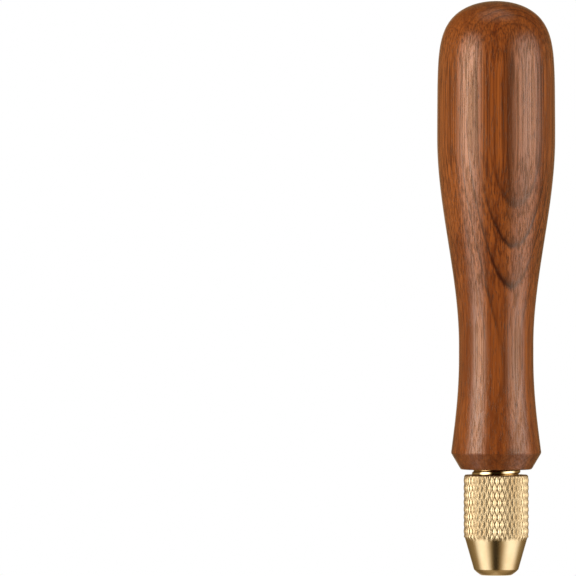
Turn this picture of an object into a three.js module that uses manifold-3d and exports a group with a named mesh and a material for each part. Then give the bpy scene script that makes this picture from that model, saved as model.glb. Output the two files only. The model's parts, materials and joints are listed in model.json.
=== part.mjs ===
// A leatherworker's awl haft, the handle that holds a sewing awl blade, as its separate pieces:
//   handle        turned hardwood grip, bored for the chuck
//   chuck_body    brass body with a threaded stub, a collet bore and a screw tail in the wood
//   collet_base   closed ring at the back of the split collet
//   jaw_1..jaw_4  the collet's four spring fingers, with a tapered tip
//   chuck_nut     knurled brass nut whose inner cone squeezes the fingers on a blade
// Millimetres. +Z runs up the tool's axis from the centre of the nut's nose to the butt.

import * as THREE from 'three';
import { mergeVertices } from 'three/addons/utils/BufferGeometryUtils.js';
import Module from 'manifold-3d';

const wasm = await Module();
wasm.setup();

// ---- driving dimensions ----

const gap = 0.3;                    // left between pieces that touch
const hair = 0.001;                 // two heights nearer than this are the same

// wood, heights along the axis and radii
const butt = 142;
const woodFace = 26.12;
const woodFaceRadius = 8.75;
const recessRadius = 6.4;           // shallow recess round the stub's thread
const recessDepth = 1.2;
const rimHeight = 30.2;
const rimRadius = 11.17;
const waistStart = 54;
const waistEnd = 57;
const waistRadius = 9.22;
const bellyStart = 108;
const bellyEnd = 112;
const bellyRadius = 14.6;
const domePower = 6;                // 2 would be an ellipse, higher is squarer
const domeTaper = 0.7;              // how much the belly narrows under the dome

// M12 x 1.5 thread with rounded crests
const pitch = 1.5;
const threadRoot = 5.5;
const threadDepth = 0.5;
const threadClearance = 0.25;
const crestHeight = 25.4;           // where one crest passes the -Y side

// chuck body
const stubFront = 17.3;
const stubThreadStart = 20;
const stubThreadEnd = 26.2;
const stubChamfer = 0.4;
const colletBore = 4.5;
const colletBoreEnd = 34.3;
const socketEnd = 36;
const tailRoot = 3;
const tailDepth = 0.5;
const tailPitch = 3;
const tailEnd = 53;
const tailPoint = 2;

// collet
const colletRadius = 4.3;
const colletHole = 2.4;
const colletBack = 34;
const fingerRoot = 29;
const taperStart = 7.8;
const tipHeight = 1;
const tipRadius = 2.85;
const slotWidth = 1;
const fingers = 4;
const firstFinger = -79;            // degrees round from +X

// nut
const mouth = 24.8;
const knurlRadius = 8.05;
const knurlStart = 9.5;
const knurlChamfer = 0.4;
const coneTopRadius = 7.7;
const coneEndHeight = 1.5;
const coneEndRadius = 5.53;
const noseFaceRadius = 3.7;
const nosePower = 1.2;              // 2 would be an ellipse, 1 a straight chamfer
const counterbore = 6.35;
const counterboreDepth = 1.2;
const nutThreadEnd = 16.2;
const nutShoulder = 15.3;
const nutBore = 4.8;
const coneClearance = 0.35;

// facets round each piece
const woodFacets = 40;
const brassFacets = 28;
const rowsPerPitch = 5;

// ---- materials ----

const wood = () => new THREE.MeshStandardMaterial({ color: 0x8a4a2c, roughness: 0.45, metalness: 0 });
const brass = () => new THREE.MeshStandardMaterial({ color: 0xd0a766, roughness: 0.25, metalness: 1 });

// ---- shared shapes ----

// Evenly spaced heights from start to end, both included.
function heights(start, end, steps) {
  return Array.from({ length: steps + 1 }, (_, i) => start + (end - start) * i / steps);
}

// A closed outline of [radius, height] points turned round Z. reshape may give each point a new
// radius from its old one, its height and its angle, which is how a thread is cut.
function turned(outline, facets, reshape = radius => radius) {
  const points = outline.map(([radius, height]) => new THREE.Vector2(radius, height));
  const geometry = new THREE.LatheGeometry(points, facets);
  geometry.rotateX(Math.PI / 2);
  const place = geometry.attributes.position;
  for (let i = 0; i < place.count; i += 1) {
    const angle = Math.atan2(place.getY(i), place.getX(i));
    const radius = Math.hypot(place.getX(i), place.getY(i));
    const moved = reshape(radius, place.getZ(i), angle);
    place.setXY(i, moved * Math.cos(angle), moved * Math.sin(angle));
  }
  return merged(geometry);
}

// Only positions, with shared vertices merged.
function merged(geometry) {
  geometry.deleteAttribute('normal');
  geometry.deleteAttribute('uv');
  return mergeVertices(geometry);
}

// How far a rounded right-hand thread stands out of its root: a raised cosine wave that climbs
// one pitch per turn and swells from nothing to its full depth over the run-in at the start.
function ridge(height, angle, thread) {
  if (height < thread.start || height > thread.end + hair) return 0;
  const swell = Math.min(1, (height - thread.start) / thread.runIn);
  const turns = (height - crestHeight) / thread.pitch - (angle + Math.PI / 2) / (2 * Math.PI);
  return thread.depth * swell * (0.5 + 0.5 * Math.cos(2 * Math.PI * turns));
}

function threadRows(thread) {
  const steps = Math.round((thread.end - thread.start) / thread.pitch * rowsPerPitch);
  return heights(thread.start, thread.end, steps);
}

function manifoldOf(geometry) {
  const plain = merged(geometry);
  return new wasm.Manifold(new wasm.Mesh({
    numProp: 3,
    vertProperties: new Float32Array(plain.attributes.position.array),
    triVerts: new Uint32Array(plain.index.array),
  }));
}

function geometryOf(solid) {
  const mesh = solid.getMesh();
  const geometry = new THREE.BufferGeometry();
  geometry.setAttribute('position', new THREE.BufferAttribute(mesh.vertProperties, 3));
  geometry.setIndex(new THREE.BufferAttribute(mesh.triVerts, 1));
  return geometry;
}

function named(name, geometry, material) {
  const mesh = new THREE.Mesh(geometry, material);
  mesh.name = name;
  return mesh;
}

// ---- handle ----

// Rim to waist: one Bezier curve that leaves the rim steeply and ends along the axis.
function neckOutline(steps) {
  const curve = new THREE.CubicBezierCurve(
    new THREE.Vector2(rimRadius, rimHeight),
    new THREE.Vector2(rimRadius - 1.04, rimHeight + 8),
    new THREE.Vector2(waistRadius, waistStart - 9),
    new THREE.Vector2(waistRadius, waistStart),
  );
  return curve.getPoints(steps).map(point => [point.x, point.y]);
}

// Waist to belly: a smooth step, level at both ends.
function swellOutline(steps) {
  return heights(waistEnd, bellyStart, steps).map(height => {
    const t = (height - waistEnd) / (bellyStart - waistEnd);
    return [waistRadius + (bellyRadius - waistRadius) * t * t * (3 - 2 * t), height];
  });
}

// Belly to butt: a squared ellipse, walked at even angles so that the top is round, on a belly
// that narrows with the square of the rise.
function domeOutline(steps) {
  return heights(0, Math.PI / 2, steps).map(angle => {
    const rise = Math.sin(angle) ** (2 / domePower);
    const belly = bellyRadius - domeTaper * rise * rise;
    return [belly * Math.cos(angle), bellyEnd + (butt - bellyEnd) * rise];
  });
}

function handleGeometry() {
  const pilot = tailRoot + tailDepth + gap;
  const socket = threadRoot + gap;
  const dome = domeOutline(12);
  dome[dome.length - 1][0] = 0;
  return turned([
    [0, tailEnd + tailPoint + gap],
    [pilot, tailEnd + gap],
    [pilot, socketEnd + gap],
    [socket, socketEnd + gap],
    [socket, woodFace + recessDepth],
    [recessRadius, woodFace + recessDepth],
    [recessRadius, woodFace],
    [woodFaceRadius, woodFace],
    ...neckOutline(8),
    ...swellOutline(10),
    ...dome,
  ], woodFacets);
}

// ---- chuck body ----

const stubThread = {
  start: stubThreadStart, end: stubThreadEnd, pitch, depth: threadDepth, runIn: 0.8,
};
const tailThread = {
  start: socketEnd + 0.6, end: tailEnd, pitch: tailPitch, depth: tailDepth, runIn: 1.5,
};

function chuckBodyGeometry() {
  const outline = [
    [0, colletBoreEnd],
    [colletBore, colletBoreEnd],
    [colletBore, stubFront],
    [threadRoot - stubChamfer, stubFront],
    [threadRoot, stubFront + stubChamfer],
    ...threadRows(stubThread).map(height => [threadRoot, height]),
    [threadRoot, stubThreadEnd + 0.3],
    [threadRoot, socketEnd],
    [tailRoot, socketEnd],
    ...threadRows(tailThread).map(height => [tailRoot, height]),
    [0, tailEnd + tailPoint],
  ];
  const cut = (radius, height, angle) => {
    if (radius < 0.1) return radius;
    if (height > socketEnd) return radius + ridge(height, angle, tailThread);
    const outside = radius > colletBore + 0.1;
    return outside ? radius + ridge(height, angle, stubThread) : radius;
  };
  return turned(outline, brassFacets, cut);
}

// ---- collet ----

function colletBaseGeometry() {
  const front = fingerRoot + gap;
  return turned([
    [colletHole, front],
    [colletRadius, front],
    [colletRadius, colletBack],
    [colletHole, colletBack],
    [colletHole, front],
  ], brassFacets);
}

// All four fingers as one tube, before the slots are cut.
function fingerTubeGeometry() {
  return turned([
    [colletHole, tipHeight],
    [tipRadius, tipHeight],
    [colletRadius, taperStart],
    [colletRadius, fingerRoot],
    [colletHole, fingerRoot],
    [colletHole, tipHeight],
  ], brassFacets);
}

// The quarter of space that one finger keeps: a box whose inner corner stands half a slot off
// the axis both ways, turned so that the finger points at its own angle.
function fingerGeometry(index) {
  const size = 2 * colletRadius;
  const length = fingerRoot + size;
  const quarter = new THREE.BoxGeometry(size, size, length);
  quarter.translate(size / 2 + slotWidth / 2, size / 2 + slotWidth / 2, length / 2 - 1);
  quarter.rotateZ(THREE.MathUtils.degToRad(firstFinger - 45 + index * 360 / fingers));
  const tube = fingerTubeGeometry();
  return geometryOf(manifoldOf(tube).intersect(manifoldOf(quarter)));
}

// ---- nut ----

const nutThread = {
  start: nutThreadEnd, end: mouth - counterboreDepth, pitch, depth: threadDepth, runIn: 1.3,
};

// The nose is a cone with a rounded end; inside it a matching cone closes on the fingers.
function nutGeometry() {
  const crest = threadRoot + threadClearance;
  const taper = (colletRadius - tipRadius) / (taperStart - tipHeight);
  const noseHole = tipRadius + coneClearance;
  const coneTop = tipHeight + (nutBore - noseHole) / taper;
  const outline = [
    [noseHole, 0],
    ...noseOutline(5),
    [coneTopRadius, knurlStart - knurlChamfer],
    [knurlRadius, knurlStart],
    [knurlRadius, mouth - knurlChamfer],
    [knurlRadius - knurlChamfer, mouth],
    [counterbore, mouth],
    [counterbore, mouth - counterboreDepth],
    ...threadRows(nutThread).reverse().map(height => [crest, height]),
    [crest, nutShoulder],
    [nutBore, nutShoulder],
    [nutBore, coneTop],
    [noseHole, tipHeight],
    [noseHole, 0],
  ];
  const cut = (radius, height, angle) => {
    const inThread = radius > nutBore + 0.1 && radius < counterbore - 0.1;
    return inThread ? radius + ridge(height, angle, nutThread) : radius;
  };
  return turned(outline, brassFacets, cut);
}

// The nose's rounded end, from its flat face to the cone: a quarter turn of a flattened ellipse.
function noseOutline(steps) {
  const width = coneEndRadius - noseFaceRadius;
  const power = 2 / nosePower;
  return heights(0, Math.PI / 2, steps).map(angle => [
    noseFaceRadius + width * Math.sin(angle) ** power,
    coneEndHeight * (1 - Math.max(0, Math.cos(angle)) ** power),
  ]);
}

// ---- the tool ----

const haft = new THREE.Group();
haft.add(named('handle', handleGeometry(), wood()));
haft.add(named('chuck_body', chuckBodyGeometry(), brass()));
haft.add(named('collet_base', colletBaseGeometry(), brass()));
for (let i = 0; i < fingers; i += 1) {
  haft.add(named(`jaw_${i + 1}`, fingerGeometry(i), brass()));
}
haft.add(named('chuck_nut', nutGeometry(), brass()));

export default haft;
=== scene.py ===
"""An awl haft: a turned wooden handle with a brass collet chuck, built round its fixed frame."""

import json
import math

import bmesh
import bpy
import numpy as np
from bpy.props import FloatProperty, FloatVectorProperty, IntProperty, PointerProperty
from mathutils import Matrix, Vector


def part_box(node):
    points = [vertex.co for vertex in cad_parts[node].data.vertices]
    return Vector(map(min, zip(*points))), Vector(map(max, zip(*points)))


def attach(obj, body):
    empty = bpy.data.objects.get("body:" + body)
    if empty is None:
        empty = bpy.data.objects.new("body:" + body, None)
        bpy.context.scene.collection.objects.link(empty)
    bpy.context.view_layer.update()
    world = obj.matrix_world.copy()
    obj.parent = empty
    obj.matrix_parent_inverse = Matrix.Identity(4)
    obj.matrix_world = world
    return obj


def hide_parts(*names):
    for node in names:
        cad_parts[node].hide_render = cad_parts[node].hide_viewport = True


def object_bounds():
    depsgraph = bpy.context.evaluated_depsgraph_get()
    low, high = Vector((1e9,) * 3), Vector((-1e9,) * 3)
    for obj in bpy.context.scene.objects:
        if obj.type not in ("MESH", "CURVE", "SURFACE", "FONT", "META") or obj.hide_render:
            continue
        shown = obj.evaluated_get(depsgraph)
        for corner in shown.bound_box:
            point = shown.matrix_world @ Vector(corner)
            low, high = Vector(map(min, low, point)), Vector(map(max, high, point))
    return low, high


bl_info = {
    "name": "Awl Haft",
    "version": (1, 0, 0),
    "blender": (4, 5, 0),
    "location": "3D View > Sidebar > Awl Haft",
    "description": "A leatherworker's awl handle with a knurled brass collet chuck",
    "category": "Add Mesh",
}

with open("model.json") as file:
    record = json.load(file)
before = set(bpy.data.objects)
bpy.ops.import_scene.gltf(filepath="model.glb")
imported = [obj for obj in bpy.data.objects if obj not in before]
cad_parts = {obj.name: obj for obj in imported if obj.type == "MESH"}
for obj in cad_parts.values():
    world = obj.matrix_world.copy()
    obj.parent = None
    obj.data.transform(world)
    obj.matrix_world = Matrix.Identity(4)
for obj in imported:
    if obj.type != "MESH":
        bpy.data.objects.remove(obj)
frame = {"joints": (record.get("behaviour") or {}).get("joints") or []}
CAD_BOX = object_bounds()

MM = 0.001
TURN = 2 * math.pi
WELD = 0.5e-6  # metres: nearer points than this are one point

HANDLE_LOW, HANDLE_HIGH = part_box("handle")
CHUCK_LOW, CHUCK_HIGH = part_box("chuck_body")
BASE_LOW, BASE_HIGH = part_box("collet_base")
JAW_LOW, JAW_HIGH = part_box("jaw_1")
NUT_LOW, NUT_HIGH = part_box("chuck_nut")
JAWS = ("jaw_1", "jaw_2", "jaw_3", "jaw_4")


# ---------------------------------------------------------------- properties


def length(name, description, default):
    """A size in metres, shown in the scene's units."""
    return FloatProperty(
        name=name, description=description, default=default, precision=5, unit="LENGTH"
    )


def colour(name, description, red, green, blue):
    """A colour given as it looks on a screen, from 0 to 255, and stored as linear light."""
    screen = np.array([red, green, blue]) / 255
    linear = np.where(screen <= 0.04045, screen / 12.92, ((screen + 0.055) / 1.055) ** 2.4)
    return FloatVectorProperty(
        name=name, description=description, default=linear.tolist(), subtype="COLOR", max=1
    )


class HandleSizes(bpy.types.PropertyGroup):
    face_radius: length("Face", "Radius of the flat front face", 8.75 * MM)
    rim_height: length("Rim height", "Height of the rim above the nose", 30.2 * MM)
    rim_radius: length("Rim", "Radius of the sharp rim behind the front face", 11.17 * MM)
    waist_start: length("Waist start", "Height where the neck reaches the waist", 54 * MM)
    waist_end: length("Waist end", "Height where the waist begins to swell", 57 * MM)
    waist_radius: length("Waist", "Radius of the waist", 9.22 * MM)
    belly_start: length("Belly start", "Height where the swell ends", 108 * MM)
    belly_end: length("Belly end", "Height where the dome begins", 112 * MM)
    dome_taper: length("Dome taper", "How much the belly narrows under the dome", 0.7 * MM)
    dome_power: FloatProperty(
        name="Dome power", description="2 is an ellipse and more is squarer", default=6.0
    )
    recess_radius: length("Recess", "Radius of the recess round the thread", 6.4 * MM)
    recess_depth: length("Recess depth", "Depth of the recess round the thread", 1.2 * MM)
    socket_radius: length("Socket", "Radius of the hole for the chuck body", 5.8 * MM)
    socket_depth: length("Socket depth", "Height where the wide hole ends", 36.3 * MM)
    pilot_radius: length("Pilot", "Radius of the hole for the screw tail", 3.8 * MM)
    pilot_end: length("Pilot end", "Height where the narrow hole ends", 55.3 * MM)


class ThreadSizes(bpy.types.PropertyGroup):
    pitch: length("Pitch", "Rise of the chuck's thread in one turn", 1.5 * MM)
    root: length("Root", "Radius at the bottom of the chuck's thread", 5.5 * MM)
    depth: length("Depth", "Height of the thread's crest over its root", 0.5 * MM)
    clearance: length("Clearance", "Gap between the two threads", 0.25 * MM)
    crest_height: length("Crest height", "Height where a crest passes the front", 25.4 * MM)
    fullness: FloatProperty(
        name="Fullness", description="1 is a round crest and more is flatter", default=1.2
    )


class ChuckSizes(bpy.types.PropertyGroup):
    thread_start: length("Thread start", "Height where the stub's thread begins", 20 * MM)
    thread_end: length("Thread end", "Height where the stub's thread ends", 26.2 * MM)
    bore_radius: length("Bore", "Radius of the hole that the collet stands in", 4.5 * MM)
    bore_end: length("Bore end", "Height of the bottom of that hole", 34.3 * MM)
    socket_end: length("Shoulder", "Height where the wide part ends", 36 * MM)
    tail_root: length("Tail", "Radius of the screw tail at its root", 3 * MM)
    tail_depth: length("Tail ridge", "Height of the screw tail's ridges", 0.5 * MM)
    tail_pitch: length("Tail pitch", "Rise of the screw tail in one turn", 3 * MM)
    tail_end: length("Tail end", "Height where the screw tail's point begins", 53 * MM)


class ColletSizes(bpy.types.PropertyGroup):
    hole_radius: length("Hole", "Radius of the hole for a blade's shank", 2.4 * MM)
    tip_radius: length("Tip", "Radius over the tips of the fingers", 2.85 * MM)
    taper_start: length("Taper start", "Height where the fingers begin to taper", 7.8 * MM)
    slot_width: length("Slot", "Width of the saw cuts between the fingers", 1 * MM)


class NutSizes(bpy.types.PropertyGroup):
    knurl_start: length("Knurl start", "Height where the knurled sleeve begins", 9.5 * MM)
    knurl_depth: length("Knurl depth", "Depth of the knurl's grooves", 0.32 * MM)
    knurl_length: length("Knurl length", "Length of one diamond along the nut", 3.59 * MM)
    knurl_count: IntProperty(
        name="Knurl count", description="Diamonds in one row round the nut", default=42
    )
    chamfer: length("Chamfer", "Width of the sleeve's end chamfers", 0.4 * MM)
    cone_top: length("Cone top", "Radius of the cone where it meets the sleeve", 7.7 * MM)
    cone_end: length("Cone end", "Radius of the cone where its end is rounded", 5.53 * MM)
    cone_end_height: length("Cone end height", "Height where that rounding begins", 1.5 * MM)
    nose_power: FloatProperty(
        name="Nose power", description="2 is an ellipse and 1 a straight chamfer", default=1.2
    )
    face_radius: length("Nose face", "Outer radius of the flat nose", 3.7 * MM)
    hole_radius: length("Nose hole", "Radius of the hole in the nose", 3.2 * MM)
    bore_radius: length("Bore", "Radius of the plain bore round the collet", 4.8 * MM)
    shoulder: length("Shoulder", "Height where the threaded bore ends", 15.3 * MM)
    thread_end: length("Thread end", "Height where the nut's thread fades out", 16.2 * MM)
    counterbore: length("Counterbore", "Radius of the plain mouth of the nut", 6.35 * MM)
    counterbore_depth: length("Counterbore depth", "Depth of that mouth", 1.2 * MM)


class WoodLook(bpy.types.PropertyGroup):
    light: colour("Light wood", "Early wood, between the dark lines", 182, 98, 42)
    middle: colour("Middle wood", "Most of the wood", 144, 71, 30)
    dark: colour("Dark wood", "Late wood, at the end of each year's growth", 73, 33, 19)
    pore: colour("Pores", "The open pores that show as short dark dashes", 70, 31, 12)
    ring_width: length("Ring width", "Growth of one year", 1.69 * MM)
    ring_depth: length("Ring depth", "Distance from the axis to one dark line", 9.45 * MM)
    lean: FloatProperty(
        name="Lean", description="How much the layers lean over, as rise over run", default=0.02
    )
    facing: FloatProperty(
        name="Facing",
        description="Which way the flat-sawn face looks, from the front to the right",
        default=math.radians(19),
        subtype="ANGLE",
    )


class BrassLook(bpy.types.PropertyGroup):
    bright: colour("Brass", "Clean polished brass", 230, 205, 161)
    warm: colour("Warm brass", "The redder patches of the polish", 225, 195, 148)
    # colour for the dirt in the knurl's grooves, which also paints the shade there
    grime_and_shade: colour("Grime", "What settles in the grooves", 110, 80, 38)


class StageLook(bpy.types.PropertyGroup):
    floor_drop: length("Floor drop", "How far the floor is below the nose", 45 * MM)
    floor_size: length("Floor size", "Radius of the floor", 0.4)
    distance: length("Distance", "From the camera to the tool", 1.6)
    frame_height: length("Frame height", "Height that the camera sees at the tool", 142.5 * MM)
    aside: length("Aside", "How far left of the tool the camera looks", 51.5 * MM)


GROUPS = {
    "haft_handle": HandleSizes,
    "haft_thread": ThreadSizes,
    "haft_chuck": ChuckSizes,
    "haft_collet": ColletSizes,
    "haft_nut": NutSizes,
    "haft_wood": WoodLook,
    "haft_brass": BrassLook,
    "haft_stage": StageLook,
}


# ------------------------------------------------------------------ surfaces


def shell(name, points, relief=None):
    """A closed surface from a grid of points, rows by columns by 3.

    The last column joins the first. Points that fall together, at a pole or along a seam, are
    welded. relief is a number for each point, kept as an attribute for the material, and each
    face is split along its lower diagonal.
    """
    rows, columns = points.shape[:2]
    index = np.arange(rows * columns).reshape(rows, columns)
    right = np.roll(index, -1, axis=1)
    quads = np.stack([index[:-1], right[:-1], right[1:], index[1:]], axis=-1).reshape(-1, 4)
    if relief is not None:
        corners = relief.reshape(-1)[quads]
        other_way = corners[:, 1] + corners[:, 3] < corners[:, 0] + corners[:, 2]
        quads = np.where(other_way[:, None], np.roll(quads, -1, axis=1), quads)
    mesh = bpy.data.meshes.new(name)
    mesh.vertices.add(rows * columns)
    mesh.vertices.foreach_set("co", points.reshape(-1).astype(np.float32))
    mesh.loops.add(quads.size)
    mesh.loops.foreach_set("vertex_index", quads.reshape(-1).astype(np.int32))
    mesh.polygons.add(len(quads))
    mesh.polygons.foreach_set("loop_start", np.arange(0, quads.size, 4, dtype=np.int32))
    mesh.polygons.foreach_set("use_smooth", np.ones(len(quads), bool))
    mesh.update(calc_edges=True)
    if relief is not None:
        layer = mesh.attributes.new("relief", "FLOAT", "POINT")
        layer.data.foreach_set("value", relief.reshape(-1).astype(np.float32))
    weld(mesh)
    piece = bpy.data.objects.new(name, mesh)
    bpy.context.scene.collection.objects.link(piece)
    return piece


def weld(mesh):
    """Merges points that fall together and turns every face outwards."""
    work = bmesh.new()
    work.from_mesh(mesh)
    bmesh.ops.remove_doubles(work, verts=work.verts, dist=WELD)
    bmesh.ops.recalc_face_normals(work, faces=work.faces)
    work.to_mesh(mesh)
    work.free()
    mesh.validate()


def bend(start, corner, end, steps):
    """A quadratic curve from start to end that heads for the corner and leaves it."""
    t = np.linspace(0, 1, steps + 1)[:, None]
    return (1 - t) ** 2 * start + 2 * t * (1 - t) * corner + t**2 * end


def eased(corners, steps=4):
    """An outline through [radius, height, ease] corners, as rows of radius and height.

    A corner with ease above 0 is replaced by a bend that leaves and meets its two sides that
    far from the corner, or at less than half of a short side.
    """
    most = 0.45
    places = np.array([corner[:2] for corner in corners], float)
    walked = [places[:1]]
    for before, corner, after, (_, _, ease) in zip(
        places[:-2], places[1:-1], places[2:], corners[1:-1], strict=True
    ):
        if ease == 0:
            walked.append(corner[None])
            continue
        start = corner + (before - corner) * min(most, ease / np.linalg.norm(before - corner))
        end = corner + (after - corner) * min(most, ease / np.linalg.norm(after - corner))
        walked.append(bend(start, corner, end, steps))
    walked.append(places[-1:])
    return np.concatenate(walked)


def turned(outline, columns, reshape=None):
    """Grid points of an outline of [radius, height] rows carried round the Z axis.

    reshape takes the grids of radius, height and angle and gives the new radius.
    """
    angle = np.linspace(0, TURN, columns, endpoint=False)[None, :]
    radius = np.repeat(outline[:, :1], columns, axis=1)
    height = np.repeat(outline[:, 1:], columns, axis=1)
    if reshape:
        radius = reshape(radius, height, angle + 0 * radius)
    return np.stack([radius * np.cos(angle), radius * np.sin(angle), height], axis=-1)


def upright(radius, heights):
    """Rows of one radius at many heights, which is the outline of a plain cylinder."""
    return np.stack([np.full(len(heights), radius), heights], axis=1)


def crests(height, angle, pitch, fullness=1.0):
    """A right-hand thread from 0 at its root to 1 at its crest, with a crest at the front at 0.

    The square root of a raised cosine of height / pitch less the share of a turn from the
    front, times fullness, which above 1 flattens the crest where it is cut off at 1.
    """
    turns = height / pitch - (angle / TURN + 0.25)
    return np.minimum(1, fullness * np.sqrt(0.5 + 0.5 * np.cos(TURN * turns)))


def swell(value, start, end):
    """0 at start, 1 at end and a smooth step between."""
    t = np.clip((value - start) / (end - start), 0, 1)
    return t * t * (3 - 2 * t)


def knurl(along, around, fullness=1.12):
    """Diamond pyramids from 0 in the grooves to 1 at their tops, on counts of diamonds.

    Two families of grooves run at equal and opposite slants. Each family is a triangle wave,
    and the lower of the two waves, times fullness, is the surface. It is cut off at 1.
    """
    slants = np.stack([around + along, around - along])
    ramps = 1 - np.abs(2 * (slants - np.floor(slants)) - 1)
    return np.minimum(1, fullness * ramps.min(axis=0))


# ----------------------------------------------------------------- materials


class Signal:
    """One shader output. Arithmetic on it adds Math nodes, so 1 - mask works."""

    def __init__(self, shader, socket):
        self.shader = shader
        self.socket = socket

    def math(self, operation, first, second=0.0):
        return self.shader.node("ShaderNodeMath", {"operation": operation}, {0: first, 1: second})

    def __add__(self, other):
        return self.math("ADD", self, other)

    def __sub__(self, other):
        return self.math("SUBTRACT", self, other)

    def __rsub__(self, other):
        return self.math("SUBTRACT", other, self)

    def __mul__(self, other):
        return self.math("MULTIPLY", self, other)

    def __truediv__(self, other):
        return self.math("DIVIDE", self, other)

    def __pow__(self, other):
        return self.math("POWER", self, other)

    __radd__ = __add__
    __rmul__ = __mul__


class Shader:
    """Builds one node tree, in metres on Object coordinates."""

    def __init__(self, owner):
        owner.use_nodes = True
        self.tree = owner.node_tree
        self.tree.nodes.clear()

    def node(self, kind, settings=None, inputs=None, output=0):
        """Adds a node of a type with its settings, then fills or links its inputs."""
        made = self.tree.nodes.new(kind)
        for key, value in (settings or {}).items():
            setattr(made, key, value)
        for key, value in (inputs or {}).items():
            if isinstance(value, Signal):
                self.tree.links.new(value.socket, made.inputs[key])
            else:
                made.inputs[key].default_value = value
        return Signal(self, made.outputs[output])

    def place(self):
        return self.node("ShaderNodeTexCoord", output="Object")

    def parts(self, vector):
        """The three numbers of a vector."""
        split = self.node("ShaderNodeSeparateXYZ", inputs={0: vector})
        return [Signal(self, socket) for socket in split.socket.node.outputs]

    def noise(self, vector, waves, detail=2.0, roughness=0.5):
        """Smooth noise from 0 to 1 with a number of waves per metre along X, Y and Z."""
        settings = {"operation": "MULTIPLY"}
        place = self.node("ShaderNodeVectorMath", settings, {0: vector, 1: waves})
        inputs = {"Vector": place, "Scale": 1.0, "Detail": detail, "Roughness": roughness}
        return self.node("ShaderNodeTexNoise", inputs=inputs)

    def step(self, value, start, end, low=0.0, high=1.0):
        """low before start, high after end and a smooth step between."""
        settings = {"interpolation_type": "SMOOTHSTEP"}
        inputs = {0: value, 1: start, 2: end, 3: low, 4: high}
        return self.node("ShaderNodeMapRange", settings, inputs)

    def mixed(self, factor, first, second):
        """A colour between two colours."""
        first, second = (
            shade if isinstance(shade, Signal) else (*shade, 1) for shade in (first, second)
        )
        settings = {"data_type": "RGBA"}
        return self.node("ShaderNodeMix", settings, {0: factor, 6: first, 7: second}, 2)

    def bump(self, height, distance):
        """A normal for a height from 0 to 1 that stands for distance metres."""
        return self.node("ShaderNodeBump", inputs={"Height": height, "Distance": distance})

    def surface(self, inputs):
        """Ends the tree in a Principled surface."""
        shaded = self.node("ShaderNodeBsdfPrincipled", inputs=inputs)
        self.node_out(shaded, "ShaderNodeOutputMaterial")

    def node_out(self, shaded, kind):
        end = self.tree.nodes.new(kind)
        self.tree.links.new(shaded.socket, end.inputs["Surface"])


# The wood's noises, in waves per metre along X, Y and Z, which is the way of the grain.
FIBRES = (3000, 2400, 22)
STREAKS = (700, 450, 7)
PATCHES = (170, 170, 22)
DRIFTS = (60, 60, 26)
PORES = (5000, 5000, 300)


def wood_material(look):
    """Flat-sawn hardwood as a solid block.

    Year lines, fibres and pores darken a ground of pale and middle streaks. A soft brown band
    runs down the front of the belly. The belly's left is painted paler, as painted light where
    the left lamp falls. The cut end grain at the front is darker, partly as end grain and
    partly as painted shade. Fibres, streaks and pores are noise drawn out along the grain.
    """
    material = bpy.data.materials.new("oiled hardwood")
    shader = Shader(material)
    place = shader.place()
    x, y, z = shader.parts(place)
    grain = shader.noise(place, FIBRES, 3.0, 0.6)
    streak = shader.noise(place, STREAKS)
    drift = shader.noise(place, DRIFTS, 1.0) - 0.5
    pore = shader.step(shader.noise(place, PORES, 1.0), 0.58, 0.7)
    wander = drift * (1.2 * MM) + (streak - 0.5) * (0.4 * MM) + (grain - 0.5) * (0.24 * MM)

    across = x + drift * (1.5 * MM)
    # painted light: the belly's left, where the left lamp falls, is painted paler with the light
    # wood colour
    left = shader.step(across, -13 * MM, -5 * MM, 0.5, 0.0) * shader.step(z, 80 * MM, 96 * MM)
    ground = shader.mixed(shader.step(streak + left, 0.3, 0.7), look.middle, look.light)
    fibres = shader.step(grain, 0.42, 0.62) * shader.step(z, 132 * MM, 139 * MM, 0.7, 0.45)
    fibres = fibres * shader.step(z, 56 * MM, 84 * MM, 0.55, 1.0)
    painted = shader.mixed(fibres, ground, look.dark)
    painted = shader.mixed(year_lines(shader, look, place, wander), painted, look.dark)

    from_band = across - 3 * MM
    band = shader.step(from_band.math("ABSOLUTE", from_band), 0.4 * MM, 2.2 * MM, 1.0, 0.0)
    band = band * shader.step(z, 80 * MM, 94 * MM) * shader.step(z, 126 * MM, 138 * MM, 1.0, 0.0)
    band = band * shader.step(y, -8 * MM, -3 * MM, 1.0, 0.0)
    painted = shader.mixed(band * 0.55, painted, look.dark)
    # the cut end below the rim is darkened with the dark wood colour: partly real end grain,
    # partly painted shade on the chamfer that faces down
    end_grain_and_shade = shader.step(z, 30 * MM, 30.4 * MM, 0.3, 0.0)
    painted = shader.mixed(end_grain_and_shade, painted, look.dark)
    painted = shader.mixed(pore * 0.7, painted, look.pore)

    relief = grain * 0.7 + streak * 0.2 - pore * 0.6
    shader.surface(
        {
            "Base Color": painted,
            "Roughness": 0.18 + grain * 0.1 + pore * 0.12,
            "Specular IOR Level": 0.62,
            "Specular Tint": (1.0, 0.68, 0.42, 1.0),
            "Coat Weight": shader.step(grain, 0.4, 0.6, 0.55, 0.0),
            "Coat Roughness": 0.12,
            "Coat IOR": 1.5,
            "Normal": shader.bump(relief, 0.022 * MM),
        }
    )
    return material


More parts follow.
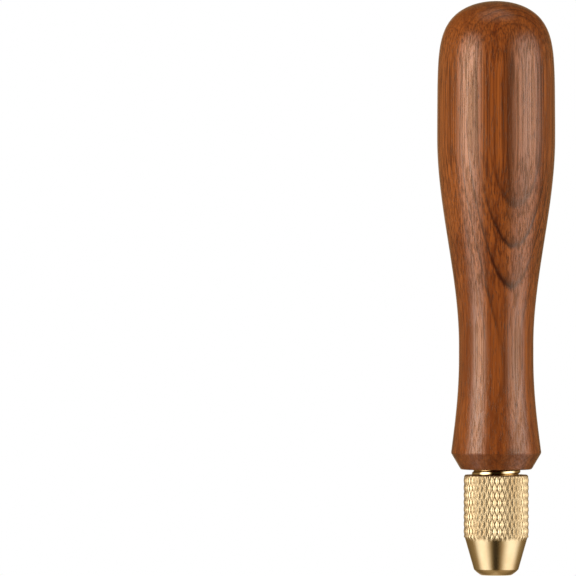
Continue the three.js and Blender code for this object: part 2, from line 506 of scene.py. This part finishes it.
def year_lines(shader, look, place, wander):
    """How much the late growth darkens the wood, from 0 between the lines.

    The layers lie nearly flat and face the front and a little to the right. Depth through them,
    with wander added, is counted in years. Each year starts with a dark line that fades over
    its first third. The lines are strongest where the front swells out of the waist.
    """
    x, y, z = shader.parts(place)
    level = (z - 108 * MM) * look.lean
    depth = x * math.sin(look.facing) - y * math.cos(look.facing) + level
    bent = depth + wander
    years = (bent - look.ring_depth) / look.ring_width
    season = years - years.math("FLOOR", years)
    line = shader.step(season, 0.0, 0.18, 0.75, 0.0)
    late = shader.step(season, 0.0, 0.6, 0.3, 0.0)
    edge = shader.step(season, 0.87, 1.0)

    front = shader.step(depth, 4 * MM, 10 * MM, 0.3, 1.0)
    patchy = shader.step(shader.noise(place, PATCHES), 0.2, 0.6, 0.5)
    past_neck = shader.step(z, 55 * MM, 72 * MM, 0.4, 1.0)
    outer_years = shader.step(bent, 12.0 * MM, 12.7 * MM, 1.0, 0.65)
    last_year = shader.step(bent, 13.6 * MM, 14.3 * MM, 1.0, 0.0)
    below_belly = shader.step(z, 94 * MM, 114 * MM, 1.0, 0.4)
    dome = shader.step(z, 130 * MM, 138 * MM, 0.0, 0.4)
    aside = x * math.cos(look.facing) + y * math.sin(look.facing)
    middle = shader.step(aside.math("ABSOLUTE", aside), 1 * MM, 9 * MM, 1.0, 0.8)
    strength = front * patchy * past_neck * outer_years * last_year * middle
    return (line + late + edge) * strength * (below_belly + dome)


def brass_material(name, look, grooved):
    """Turned and polished brass.

    Fine tool marks run round the piece: noise along the sum of radius and height, which is the
    way that the tool went, on cylinders and on faces alike. grooved brass has a relief
    attribute: 0 in the grooves, 1 on their crests and 2 on the polished faces. The knurl is
    duller than those, and darker in its grooves with dirt and painted shade.
    """
    material = bpy.data.materials.new(name)
    shader = Shader(material)
    place = shader.place()
    x, y, z = shader.parts(place)
    travel = (x * x + y * y) ** 0.5 + z
    marks = shader.node(
        "ShaderNodeTexNoise",
        {"noise_dimensions": "1D"},
        {"W": travel, "Scale": 9000.0, "Detail": 3.0, "Roughness": 0.7},
    )
    cloud = shader.noise(place, (230, 230, 230), 3.0, 0.6)
    tone = shader.mixed(shader.step(cloud, 0.35, 0.7), look.bright, look.warm)
    roughness = 0.02 + cloud * 0.04 + marks * 0.04
    if grooved:
        relief = shader.node("ShaderNodeAttribute", {"attribute_name": "relief"}, output="Fac")
        hollow = shader.step(relief, 0.0, 0.4, 1.0, 0.0)
        # painted shade and dirt: the knurl's grooves are darkened with the groove colour
        tone = shader.mixed(hollow * 0.6, tone, look.grime_and_shade)
        dulled = shader.step(relief, 1.0, 1.5, 0.36, 0.19)
        roughness = roughness + dulled + hollow * 0.1
    shader.surface(
        {
            "Base Color": tone,
            "Metallic": 1.0,
            "Roughness": roughness,
            "Normal": shader.bump(marks, 0.0012 * MM),
        }
    )
    return material


def floor_material():
    """Pale matt paper, lit a little from inside and clear from underneath."""
    material = bpy.data.materials.new("pale paper")
    shader = Shader(material)
    grain = shader.noise(shader.place(), (900, 900, 900))
    tone = shader.mixed(grain, (0.86, 0.86, 0.86), (0.9, 0.9, 0.9))
    paper = {
        "Base Color": tone,
        "Roughness": 0.9,
        "Specular IOR Level": 0.2,
        "Emission Color": (1.0, 0.99, 0.97, 1.0),
        "Emission Strength": 0.4,
    }
    shaded = shader.node("ShaderNodeBsdfPrincipled", inputs=paper)
    clear = shader.node("ShaderNodeBsdfTransparent")
    under = shader.node("ShaderNodeNewGeometry", output="Backfacing")
    both = shader.node("ShaderNodeMixShader", inputs={0: under, 1: shaded, 2: clear})
    shader.node_out(both, "ShaderNodeOutputMaterial")
    return material


def dressed(piece, material, body, slot, *nodes):
    """Gives a piece its material and its body, and hides the CAD nodes that it stands for; slot
    is not used.
    """
    piece.data.materials.append(material)
    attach(piece, body)
    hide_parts(*nodes)


# ----------------------------------------------------------------- operators


class HAFT_OT_handle(bpy.types.Operator):
    """Turns the wooden handle"""

    bl_idname = "haft.handle"
    bl_label = "Handle"

    def execute(self, context):
        sizes = context.scene.haft_handle
        outline = np.concatenate([self.holes(sizes), self.outside(sizes)])
        piece = shell("turned_handle", turned(outline, 144))
        dressed(piece, wood_material(context.scene.haft_wood), "handle", "wood", "handle")
        return {"FINISHED"}

    def holes(self, sizes):
        """From the bottom of the pilot hole out to the flat face, with broken edges."""
        face = HANDLE_LOW.z
        return eased(
            [
                (0, sizes.pilot_end, 0),
                (sizes.pilot_radius, sizes.pilot_end - 2 * MM, 0.2 * MM),
                (sizes.pilot_radius, sizes.socket_depth, 0.1 * MM),
                (sizes.socket_radius, sizes.socket_depth, 0.1 * MM),
                (sizes.socket_radius, face + sizes.recess_depth, 0.1 * MM),
                (sizes.recess_radius, face + sizes.recess_depth, 0.1 * MM),
                (sizes.recess_radius, face, 0.15 * MM),
                (sizes.face_radius, face, 0.35 * MM),
                (sizes.rim_radius, sizes.rim_height, 0),
            ]
        )[:-1]

    def outside(self, sizes):
        """The chamfer, the rim's soft edge, the neck, the swell and the dome."""
        face = np.array([sizes.face_radius, HANDLE_LOW.z])
        rim = np.array([sizes.rim_radius, sizes.rim_height])
        leave = rim + np.array([-1.04, 8]) * MM
        ease = 0.3 * MM
        before = rim + (face - rim) * ease / np.linalg.norm(face - rim)
        after = rim + (leave - rim) * ease / np.linalg.norm(leave - rim)
        chamfer = before + (face - before) * np.linspace(0.9, 0.04, 14)[:, None]
        neck = self.neck(sizes, rim, leave)
        neck = neck[neck[:, 1] > after[1]]
        edge = bend(before, rim, after, 4)
        return np.concatenate([chamfer, edge, neck, self.swelling(sizes), self.dome(sizes)])

    def neck(self, sizes, rim, leave):
        """Rim to waist as a Bezier curve that starts towards leave and ends along the axis."""
        waist = np.array([sizes.waist_radius, sizes.waist_start])
        arrive = waist - np.array([0, 9]) * MM
        t = np.linspace(0, 1, 60)[:, None]
        return (
            (1 - t) ** 3 * rim
            + 3 * t * (1 - t) ** 2 * leave
            + 3 * t**2 * (1 - t) * arrive
            + t**3 * waist
        )

    def swelling(self, sizes):
        """Waist to belly as a smooth step."""
        height = np.linspace(sizes.waist_end, sizes.belly_start, 90)
        share = swell(height, sizes.waist_end, sizes.belly_start)
        growth = HANDLE_HIGH.x - sizes.waist_radius
        return np.stack([sizes.waist_radius + growth * share, height], axis=1)

    def dome(self, sizes):
        """A squared ellipse, where the radius is the belly's times the cosine of an angle and
        the rise a low power of its sine, on a belly that narrows with the rise squared."""
        angle = np.linspace(0, math.pi / 2, 70)
        rise = np.sin(angle) ** (2 / sizes.dome_power)
        radius = (HANDLE_HIGH.x - sizes.dome_taper * rise**2) * np.cos(angle)
        radius[-1] = 0
        height = sizes.belly_end + (HANDLE_HIGH.z - sizes.belly_end) * rise
        return np.stack([radius, height], axis=1)


class HAFT_OT_chuck_body(bpy.types.Operator):
    """Turns and threads the brass chuck body"""

    bl_idname = "haft.chuck_body"
    bl_label = "Chuck body"

    def execute(self, context):
        sizes = context.scene.haft_chuck
        thread = context.scene.haft_thread
        front = CHUCK_LOW.z
        tail_start = sizes.socket_end + 0.6 * MM
        stub_fades_in = 0.8 * MM
        tail_fades_in = 1.5 * MM
        bore = eased(
            [
                (0, sizes.bore_end, 0),
                (sizes.bore_radius, sizes.bore_end, 0.2 * MM),
                (sizes.bore_radius, front, 0.15 * MM),
                (thread.root, front, 0.5 * MM),
                (thread.root, sizes.thread_start, 0),
            ],
            6,
        )[:-1]
        rows = np.linspace(sizes.thread_start, sizes.thread_end, 100)
        tail_rows = np.linspace(tail_start, sizes.tail_end, 90)
        back = eased(
            [
                (thread.root, sizes.thread_end + 0.3 * MM, 0),
                (thread.root, sizes.socket_end, 0.3 * MM),
                (sizes.tail_root, sizes.socket_end, 0.2 * MM),
                (sizes.tail_root, tail_start, 0),
            ]
        )[:-1]
        outline = np.concatenate(
            [
                bore,
                upright(thread.root, rows),
                back,
                upright(sizes.tail_root, tail_rows),
                [[0, CHUCK_HIGH.z]],
            ]
        )

        def cut(radius, height, angle):
            stub = swell(height, sizes.thread_start, sizes.thread_start + stub_fades_in)
            stub *= (height <= sizes.thread_end + WELD) & (radius > sizes.bore_radius + 0.1 * MM)
            tail = swell(height, tail_start, tail_start + tail_fades_in)
            tail *= (height <= sizes.tail_end + WELD) & (radius > 0)
            crest = height - thread.crest_height
            return (
                radius
                + thread.depth * stub * crests(crest, angle, thread.pitch, thread.fullness)
                + sizes.tail_depth * tail * crests(crest, angle, sizes.tail_pitch)
            )

        piece = shell("threaded_chuck_body", turned(outline, 160, cut))
        look = context.scene.haft_brass
        material = brass_material("turned brass", look, grooved=False)
        dressed(piece, material, "handle", "turned_brass", "chuck_body")
        return {"FINISHED"}


class HAFT_OT_collet(bpy.types.Operator):
    """Makes the collet's closed ring and its four fingers"""

    bl_idname = "haft.collet"
    bl_label = "Collet"

    def execute(self, context):
        sizes = context.scene.haft_collet
        look = context.scene.haft_brass
        material = brass_material("collet brass", look, grooved=False)
        piece = shell("collet_ring", turned(self.ring(sizes), 96))
        dressed(piece, material, "collet", "turned_brass", "collet_base")
        for node in JAWS:
            piece = shell(f"collet_finger_{node[-1]}", self.finger(sizes, self.facing(node)))
            bevel = piece.modifiers.new("broken edges", "BEVEL")
            bevel.width = 0.06 * MM
            bevel.segments = 2
            bevel.limit_method = "ANGLE"
            bevel.angle_limit = math.radians(45)
            dressed(piece, material, node, "turned_brass", node)
        return {"FINISHED"}

    def ring(self, sizes):
        """A plain tube with broken edges, closed on itself."""
        outer = BASE_HIGH.x
        inner = sizes.hole_radius
        middle = (inner + outer) / 2
        return eased(
            [
                (middle, BASE_LOW.z, 0),
                (outer, BASE_LOW.z, 0.15 * MM),
                (outer, BASE_HIGH.z, 0.15 * MM),
                (inner, BASE_HIGH.z, 0.15 * MM),
                (inner, BASE_LOW.z, 0.15 * MM),
                (middle, BASE_LOW.z, 0),
            ]
        )

    def facing(self, node):
        """The direction of a finger from the axis, which is that of its hinge."""
        joint = next(joint for joint in frame["joints"] if joint["child"] == node)
        return math.atan2(joint["pos_m"][1], joint["pos_m"][0])

    def finger(self, sizes, facing):
        """A quarter of a tapered tube between two saw cuts that pass through the axis.

        One parameter runs round the section: out along one cut, back along the other, and the
        two arcs between them. The other runs from tip to root, and at both ends the section
        closes on its own middle line.
        """
        outer_root = BASE_HIGH.x
        tip, root = JAW_LOW.z, JAW_HIGH.z
        height = np.concatenate(
            [
                np.linspace(tip, sizes.taper_start, 24),
                np.linspace(sizes.taper_start, root, 40)[1:],
            ]
        )
        grown = np.clip((height - tip) / (sizes.taper_start - tip), 0, 1)
        outer = sizes.tip_radius + (outer_root - sizes.tip_radius) * grown
        inner = np.full_like(outer, sizes.hole_radius)
        height = np.concatenate([[tip], height, [root]])
        outer = np.concatenate([outer[:1], outer, outer[-1:]])
        inner = np.concatenate([inner[:1], inner, inner[-1:]])
        middle = (outer + inner) / 2
        ends = np.zeros(len(height), bool)
        ends[[0, -1]] = True
        outer = np.where(ends, middle, outer)
        inner = np.where(ends, middle, inner)
        arc = np.linspace(-1, 1, 25)
        side = np.linspace(0, 1, 5)[1:-1]
        radius = np.concatenate(
            [
                np.repeat(outer[:, None], len(arc), axis=1),
                outer[:, None] + (inner - outer)[:, None] * side,
                np.repeat(inner[:, None], len(arc), axis=1),
                inner[:, None] + (outer - inner)[:, None] * side,
            ],
            axis=1,
        )
        share = np.concatenate([arc, np.ones(3), -arc, -np.ones(3)])[None, :]
        half = math.pi / 4 - np.arcsin(sizes.slot_width / 2 / radius)
        angle = facing + share * half
        return np.stack(
            [radius * np.cos(angle), radius * np.sin(angle), height[:, None] + 0 * angle],
            axis=-1,
        )


class HAFT_OT_nut(bpy.types.Operator):
    """Turns, threads and knurls the nut"""

    bl_idname = "haft.nut"
    bl_label = "Knurled nut"

    def execute(self, context):
        sizes = context.scene.haft_nut
        thread = context.scene.haft_thread
        mouth = NUT_HIGH.z
        sleeve = NUT_HIGH.x
        crest = thread.root + thread.clearance
        thread_top = mouth - sizes.counterbore_depth
        fades_in = 1.3 * MM
        samples = 10  # points along one diamond, and round it
        nose = self.nose(sizes)
        low = sizes.knurl_start - sizes.chamfer
        steps = round((mouth - low) * samples / sizes.knurl_length)
        sleeve_rows = np.linspace(low, mouth, steps + 1)
        rows = np.linspace(thread_top, sizes.thread_end, 60)
        mouth_outline = eased(
            [
                (sleeve - sizes.chamfer, mouth, 0),
                (sizes.counterbore, mouth, 0.15 * MM),
                (sizes.counterbore, thread_top, 0),
                (crest, thread_top, 0),
            ]
        )[1:-1]
        inside = eased(
            [
                (crest, sizes.thread_end - 0.1 * MM, 0),
                (crest, sizes.shoulder, 0.1 * MM),
                (sizes.bore_radius, sizes.shoulder, 0.15 * MM),
                (sizes.bore_radius, self.cone_top(context), 0.2 * MM),
                (sizes.hole_radius, JAW_LOW.z, 0.1 * MM),
                (sizes.hole_radius, 0.1 * MM, 0),
                (sizes.hole_radius + 0.1 * MM, NUT_LOW.z, 0),
            ]
        )
        outline = np.concatenate(
            [
                inside[-1:],
                nose,
                upright(sleeve, sleeve_rows),
                mouth_outline,
                upright(crest, rows),
                inside,
            ]
        )
        on_sleeve = np.zeros(len(outline), bool)
        first = 1 + len(nose)
        on_sleeve[first : first + len(sleeve_rows)] = True
        diamonds = np.zeros((len(outline), sizes.knurl_count * samples))
        mouth_radius = sleeve - sizes.chamfer

        def cut(radius, height, angle):
            along = (height - low) / (mouth - low) * steps / samples
            diamonds[:] = knurl(along, angle * sizes.knurl_count / TURN)
            ends = np.minimum(height - low + sizes.cone_top, mouth - height + mouth_radius)
            knurled = np.minimum(ends, sleeve - sizes.knurl_depth * (1 - diamonds))
            fade = swell(height, sizes.thread_end, sizes.thread_end + fades_in)
            threaded = (radius < crest + 0.01 * MM) & (height <= thread_top + WELD)
            valley = crests(height - thread.crest_height, angle, thread.pitch)
            female = radius + thread.depth * fade * valley * threaded
            return np.where(on_sleeve[:, None], knurled, female)

        points = turned(outline, sizes.knurl_count * samples, cut)
        relief = np.where(on_sleeve[:, None], diamonds, 2)
        piece = shell("knurled_nut", points, relief)
        material = brass_material("knurled brass", context.scene.haft_brass, grooved=True)
        dressed(piece, material, "nut", "nut_brass", "chuck_nut")
        return {"FINISHED"}

    def nose(self, sizes):
        """The flat nose, then its rounding as a quarter turn of a flattened ellipse, then the
        straight cone."""
        angle = np.linspace(0, math.pi / 2, 16)
        power = 2 / sizes.nose_power
        width = sizes.cone_end - sizes.face_radius
        rounding = np.stack(
            [
                sizes.face_radius + width * np.sin(angle) ** power,
                sizes.cone_end_height * (1 - np.clip(np.cos(angle), 0, 1) ** power),
            ],
            axis=1,
        )
        t = np.linspace(0, 1, 12)[1:, None]
        foot = np.array([sizes.cone_end, sizes.cone_end_height])
        top = np.array([sizes.cone_top, sizes.knurl_start - sizes.chamfer])
        return np.concatenate([rounding, foot + (top - foot) * t])[:-1]

    def cone_top(self, context):
        """Where the inside cone, which has the fingers' own slope, meets the plain bore."""
        collet = context.scene.haft_collet
        sizes = context.scene.haft_nut
        rise = collet.taper_start - JAW_LOW.z
        slope = (BASE_HIGH.x - collet.tip_radius) / rise
        return JAW_LOW.z + (sizes.bore_radius - sizes.hole_radius) / slope


class HAFT_OT_stage(bpy.types.Operator):
    """Sets the floor, the studio light and the camera"""

    bl_idname = "haft.stage"
    bl_label = "Stage"

    def execute(self, context):
        look = context.scene.haft_stage
        self.floor(look)
        self.light(context.scene)
        self.camera(context.scene, look)
        return {"FINISHED"}

    def floor(self, look):
        """A disc below the nut's whole travel, which reflections and bounced light leave out."""
        rings = np.linspace(0, look.floor_size, 12)
        points = turned(np.stack([rings, np.full(12, -look.floor_drop)], axis=1), 96)
        floor = shell("floor", points)
        floor.data.flip_normals()
        floor.data.materials.append(floor_material())
        floor.visible_glossy = False
        floor.visible_diffuse = False

    def light(self, scene):
        """Two tall soft lamps at the front, one each side of the camera, pale walls beyond
        them, and weak lamps behind, below and above, as one sky. The dim parts are warm, and
        the camera sees white. The angle round is 0 towards the camera and grows to the
        right, and z goes from -1 straight down to 1 straight up."""
        world = bpy.data.worlds.new("studio")
        scene.world = world
        shader = Shader(world)
        towards = shader.node("ShaderNodeTexCoord", output="Generated")
        x, y, z = shader.parts(towards)
        angle = x.math("ARCTAN2", x, y * -1.0)
        away = angle.math("ABSOLUTE", angle)

        def lowered(below, level):
            """One value well below the horizon and another from near it upwards."""
            return shader.step(z, -0.5, -0.15, below, level)

        def lamp(below, level, inner, outer):
            """An upright lamp round two angles, below and at the level, with soft sides."""
            aside = angle - lowered(math.radians(below), math.radians(level))
            aside = aside.math("ABSOLUTE", aside) / lowered(1.5, 1.0)
            return shader.step(aside, math.radians(inner), math.radians(outer), 1.0, 0.0)

        left = lamp(-64, -57, 5, 35)
        right = lamp(68, 63, 5, 44) * shader.step(z, -0.5, -0.1, 1.0, 0.65)
        tall = shader.step(z, -0.95, -0.6, 0.0, 1.3) + shader.step(z, -0.4, 0.05, 0.0, 3.6)
        tall = tall * shader.step(z, 0.1, 0.7, 1.0, 0.03)
        walls = shader.step(away, 0.3, 0.9) * shader.step(away, 2.0, 2.7, 0.26, 0.14)
        behind = shader.step(away, math.radians(156), math.radians(168), 0.0, 0.3)
        around = (walls + behind) * shader.step(z, 0.1, 0.5, 1.0, 0.35)
        below = shader.step(z, -0.98, -0.6, 0.14, 0.0)
        above = shader.step(z, 0.85, 0.97, 0.0, 0.7)
        power = 0.02 + (left + right) * tall + around + below + above
        tint = shader.mixed(shader.step(power, 0.1, 1.2), (1.0, 0.74, 0.36), (1.0, 1.0, 1.0))
        lit = shader.node("ShaderNodeBackground", inputs={"Color": tint, "Strength": power})
        white = shader.node("ShaderNodeBackground", inputs={"Color": (1, 1, 1, 1)})
        seen = shader.node("ShaderNodeLightPath", output="Is Camera Ray")
        both = shader.node("ShaderNodeMixShader", inputs={0: seen, 1: lit, 2: white})
        shader.node_out(both, "ShaderNodeOutputWorld")

    def camera(self, scene, look):
        """Level with the middle of the tool and looking past its left side."""
        data = bpy.data.cameras.new("camera")
        data.sensor_width = 36
        data.lens = data.sensor_width * look.distance / look.frame_height
        camera = bpy.data.objects.new("camera", data)
        middle = (CAD_BOX[0].z + CAD_BOX[1].z) / 2
        camera.location = (-look.aside, -look.distance, middle)
        camera.rotation_euler = (math.radians(90), 0, 0)
        scene.collection.objects.link(camera)
        scene.camera = camera
        scene.view_settings.view_transform = "Standard"


OPERATORS = (
    HAFT_OT_handle,
    HAFT_OT_chuck_body,
    HAFT_OT_collet,
    HAFT_OT_nut,
    HAFT_OT_stage,
)


class HAFT_PT_panel(bpy.types.Panel):
    """Lists the tool's pieces and their sizes"""

    bl_label = "Awl Haft"
    bl_idname = "HAFT_PT_panel"
    bl_space_type = "VIEW_3D"
    bl_region_type = "UI"
    bl_category = "Awl Haft"

    def draw(self, context):
        for operator in OPERATORS:
            self.layout.operator(operator.bl_idname)
        for name in GROUPS:
            box = self.layout.box()
            group = getattr(context.scene, name)
            for key in group.__annotations__:
                box.prop(group, key)


def register():
    for name, group in GROUPS.items():
        bpy.utils.register_class(group)
        setattr(bpy.types.Scene, name, PointerProperty(type=group))
    for operator in OPERATORS:
        bpy.utils.register_class(operator)
    bpy.utils.register_class(HAFT_PT_panel)


def unregister():
    bpy.utils.unregister_class(HAFT_PT_panel)
    for operator in reversed(OPERATORS):
        bpy.utils.unregister_class(operator)
    for name, group in GROUPS.items():
        delattr(bpy.types.Scene, name)
        bpy.utils.unregister_class(group)


def main():
    register()
    bpy.ops.haft.handle()
    bpy.ops.haft.chuck_body()
    bpy.ops.haft.collet()
    bpy.ops.haft.nut()
    bpy.ops.haft.stage()


if __name__ == "__main__":
    main()
